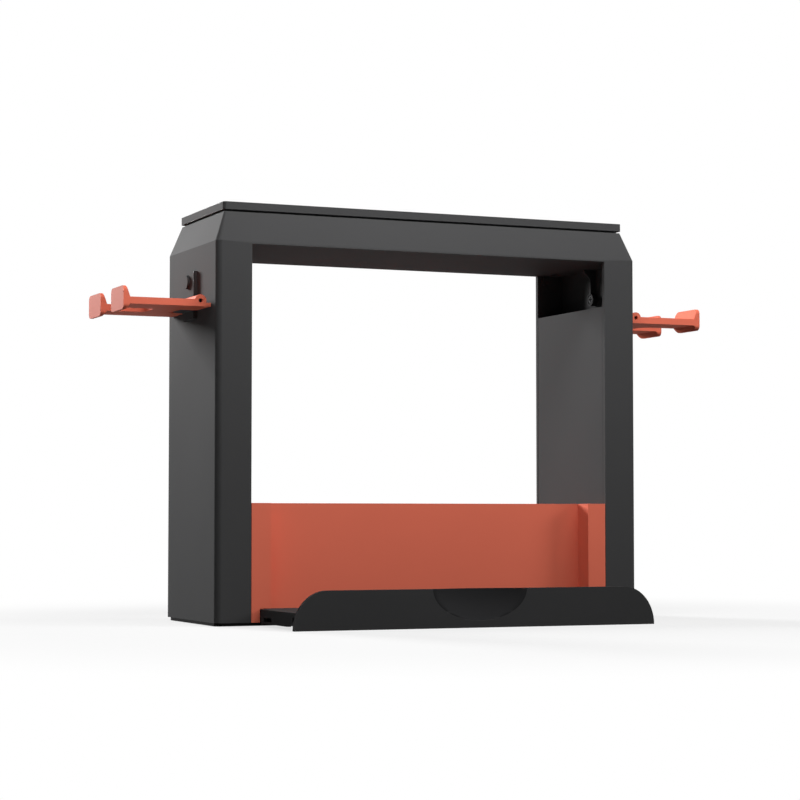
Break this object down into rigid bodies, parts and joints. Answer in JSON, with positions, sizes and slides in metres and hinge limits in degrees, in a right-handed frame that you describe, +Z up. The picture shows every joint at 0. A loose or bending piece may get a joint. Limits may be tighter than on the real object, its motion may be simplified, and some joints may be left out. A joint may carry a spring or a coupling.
{
  "type": "console storage stand",
  "caption": "Tabletop stand: a portal frame with a slotted rack, a lipped front tray and a folding forked hook on each side.",
  "frame": {"origin": "centre of the whole object's box, at the floor", "axes": "+X to the right seen from the front, +Y to the back, +Z up"},
  "size_m": [0.3206, 0.1342, 0.208],
  "materials": {
    "black_plastic": "fine moulded texture, satin",
    "base_black": "matte",
    "coral_plastic": "smooth moulded, satin",
    "pin_steel": "zinc plated",
    "foot_rubber": "matte"
  },
  "bodies": {
    "stand": {"left_shell": "black_plastic", "right_shell": "black_plastic", "left_panel": "black_plastic", "right_panel": "black_plastic", "top_beam": "black_plastic", "top_cover": "black_plastic", "base_plate": "base_black", "slot_rack": "coral_plastic", "front_tray": "black_plastic", "left_bracket": "black_plastic", "right_bracket": "black_plastic", "left_pin": "pin_steel", "right_pin": "pin_steel", "bracket_screws": "pin_steel", "base_screws": "pin_steel", "cover_screws": "pin_steel", "frame_feet": "foot_rubber", "tray_feet": "foot_rubber"},
    "left_hook_arm": {"left_hook": "coral_plastic"},
    "right_hook_arm": {"right_hook": "coral_plastic"}
  },
  "joints": [
    {"name": "left_hook_fold", "type": "hinge", "parent": "stand", "child": "left_hook_arm", "pos_m": [-0.1213, 0.0271, 0.159], "axis": [0, 1, 0], "range_deg": [0, 90]},
    {"name": "right_hook_fold", "type": "hinge", "parent": "stand", "child": "right_hook_arm", "pos_m": [0.1213, 0.0271, 0.159], "axis": [0, -1, 0], "range_deg": [0, 90]}
  ]
}
